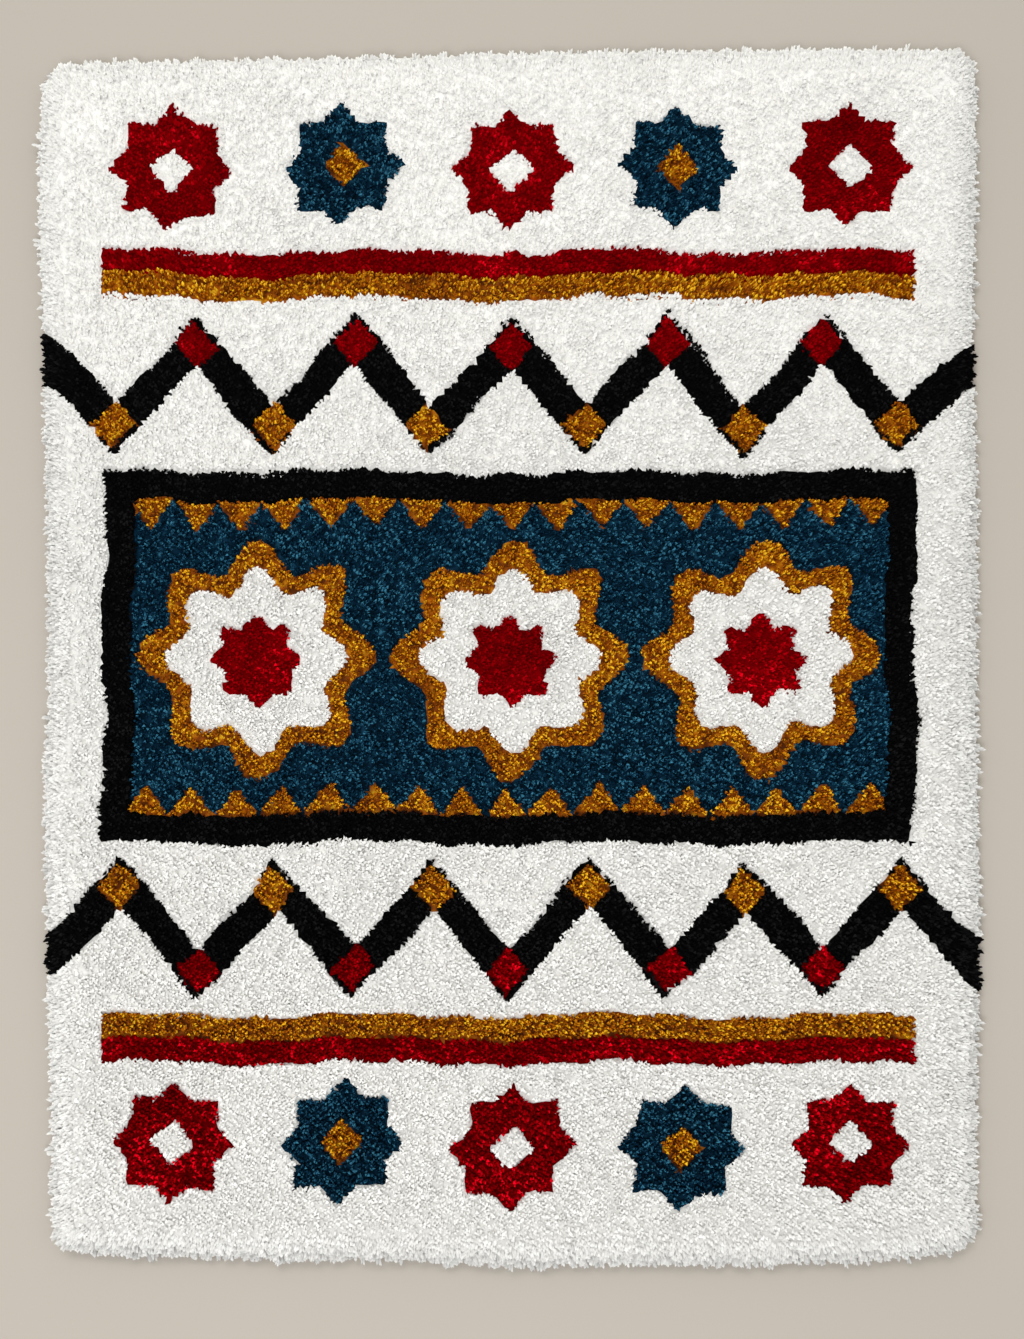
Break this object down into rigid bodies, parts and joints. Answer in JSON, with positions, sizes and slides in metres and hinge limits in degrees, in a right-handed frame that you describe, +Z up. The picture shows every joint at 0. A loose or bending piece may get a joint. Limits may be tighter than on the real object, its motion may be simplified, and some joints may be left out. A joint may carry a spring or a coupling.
{
  "type": "tufted pile rug",
  "caption": "Rectangular cut-pile floor rug, hand tufted in one piece, lying flat with its pile leaning out past the cloth's edge all round.",
  "frame": {"origin": "on the surface that the rug lies on, under the middle of its outline", "axes": "+Y along the rug's length towards its head end, +X across it, +Z up through the pile"},
  "size_m": [0.7146, 0.924, 0.0194],
  "materials": {
    "white_yarn": "soft cut acrylic pile, slightly lustrous",
    "black_yarn": "soft cut acrylic pile, matte",
    "red_yarn": "silky cut acrylic pile with a sheen",
    "gold_yarn": "silky cut acrylic pile, mottled where the yarn's twist shows",
    "teal_yarn": "soft cut acrylic pile, slightly mottled",
    "backing_cloth": "plain-woven backing cloth, matte"
  },
  "bodies": {
    "root": {"tufted_rug": "white_yarn"}
  },
  "joints": []
}
